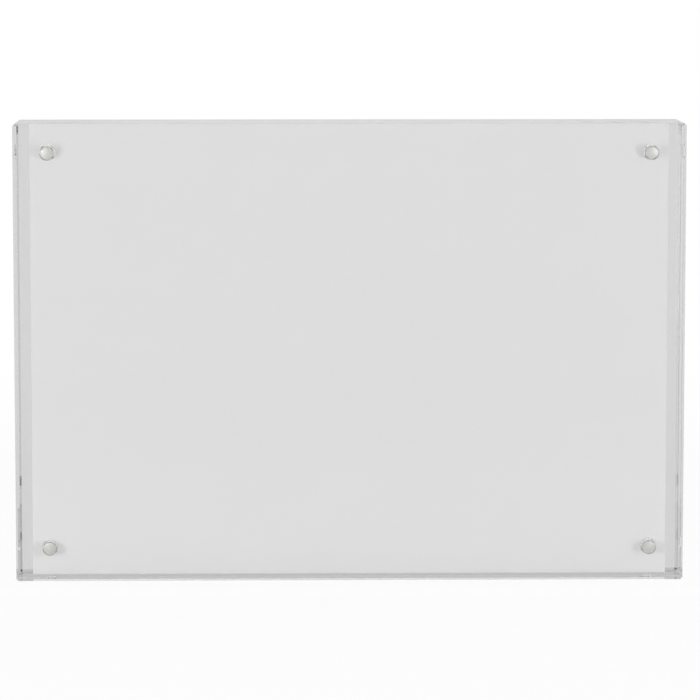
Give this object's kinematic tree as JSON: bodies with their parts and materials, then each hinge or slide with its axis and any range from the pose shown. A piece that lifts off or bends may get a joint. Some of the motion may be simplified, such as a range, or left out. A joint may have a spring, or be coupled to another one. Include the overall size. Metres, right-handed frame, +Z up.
{
  "type": "magnetic photo frame",
  "caption": "Clear acrylic photo frame: polished blocks held face to face by glued-in corner magnets, with a plain print clamped between them.",
  "frame": {"origin": "on the table under the middle of the frame", "axes": "+X to the right as the viewer sees the picture, -Y towards the viewer, +Z up"},
  "size_m": [0.155, 0.0204, 0.1062],
  "materials": {
    "acrylic": "clear cast acrylic, diamond-polished on every face",
    "print": "plain white photo card, satin",
    "nickel": "bright nickel plating on a neodymium magnet",
    "glue": "clear cured glue"
  },
  "bodies": {
    "rear": {"rear_block": "acrylic", "rear_magnet_top_left": "nickel", "rear_magnet_top_right": "nickel", "rear_magnet_bottom_left": "nickel", "rear_magnet_bottom_right": "nickel", "rear_glue_top_left": "glue", "rear_glue_top_right": "glue", "rear_glue_bottom_left": "glue", "rear_glue_bottom_right": "glue"},
    "front": {"front_block": "acrylic", "front_magnet_top_left": "nickel", "front_magnet_top_right": "nickel", "front_magnet_bottom_left": "nickel", "front_magnet_bottom_right": "nickel", "front_glue_top_left": "glue", "front_glue_top_right": "glue", "front_glue_bottom_left": "glue", "front_glue_bottom_right": "glue"},
    "insert": {"photo_insert": "print"}
  },
  "joints": [
    {"name": "front_pull", "type": "slide", "parent": "rear", "child": "front", "axis": [0, -1, 0], "range_m": [0, 0.05]},
    {"name": "insert_lift", "type": "slide", "parent": "rear", "child": "insert", "axis": [0, 0, 1], "range_m": [0, 0.106]}
  ]
}
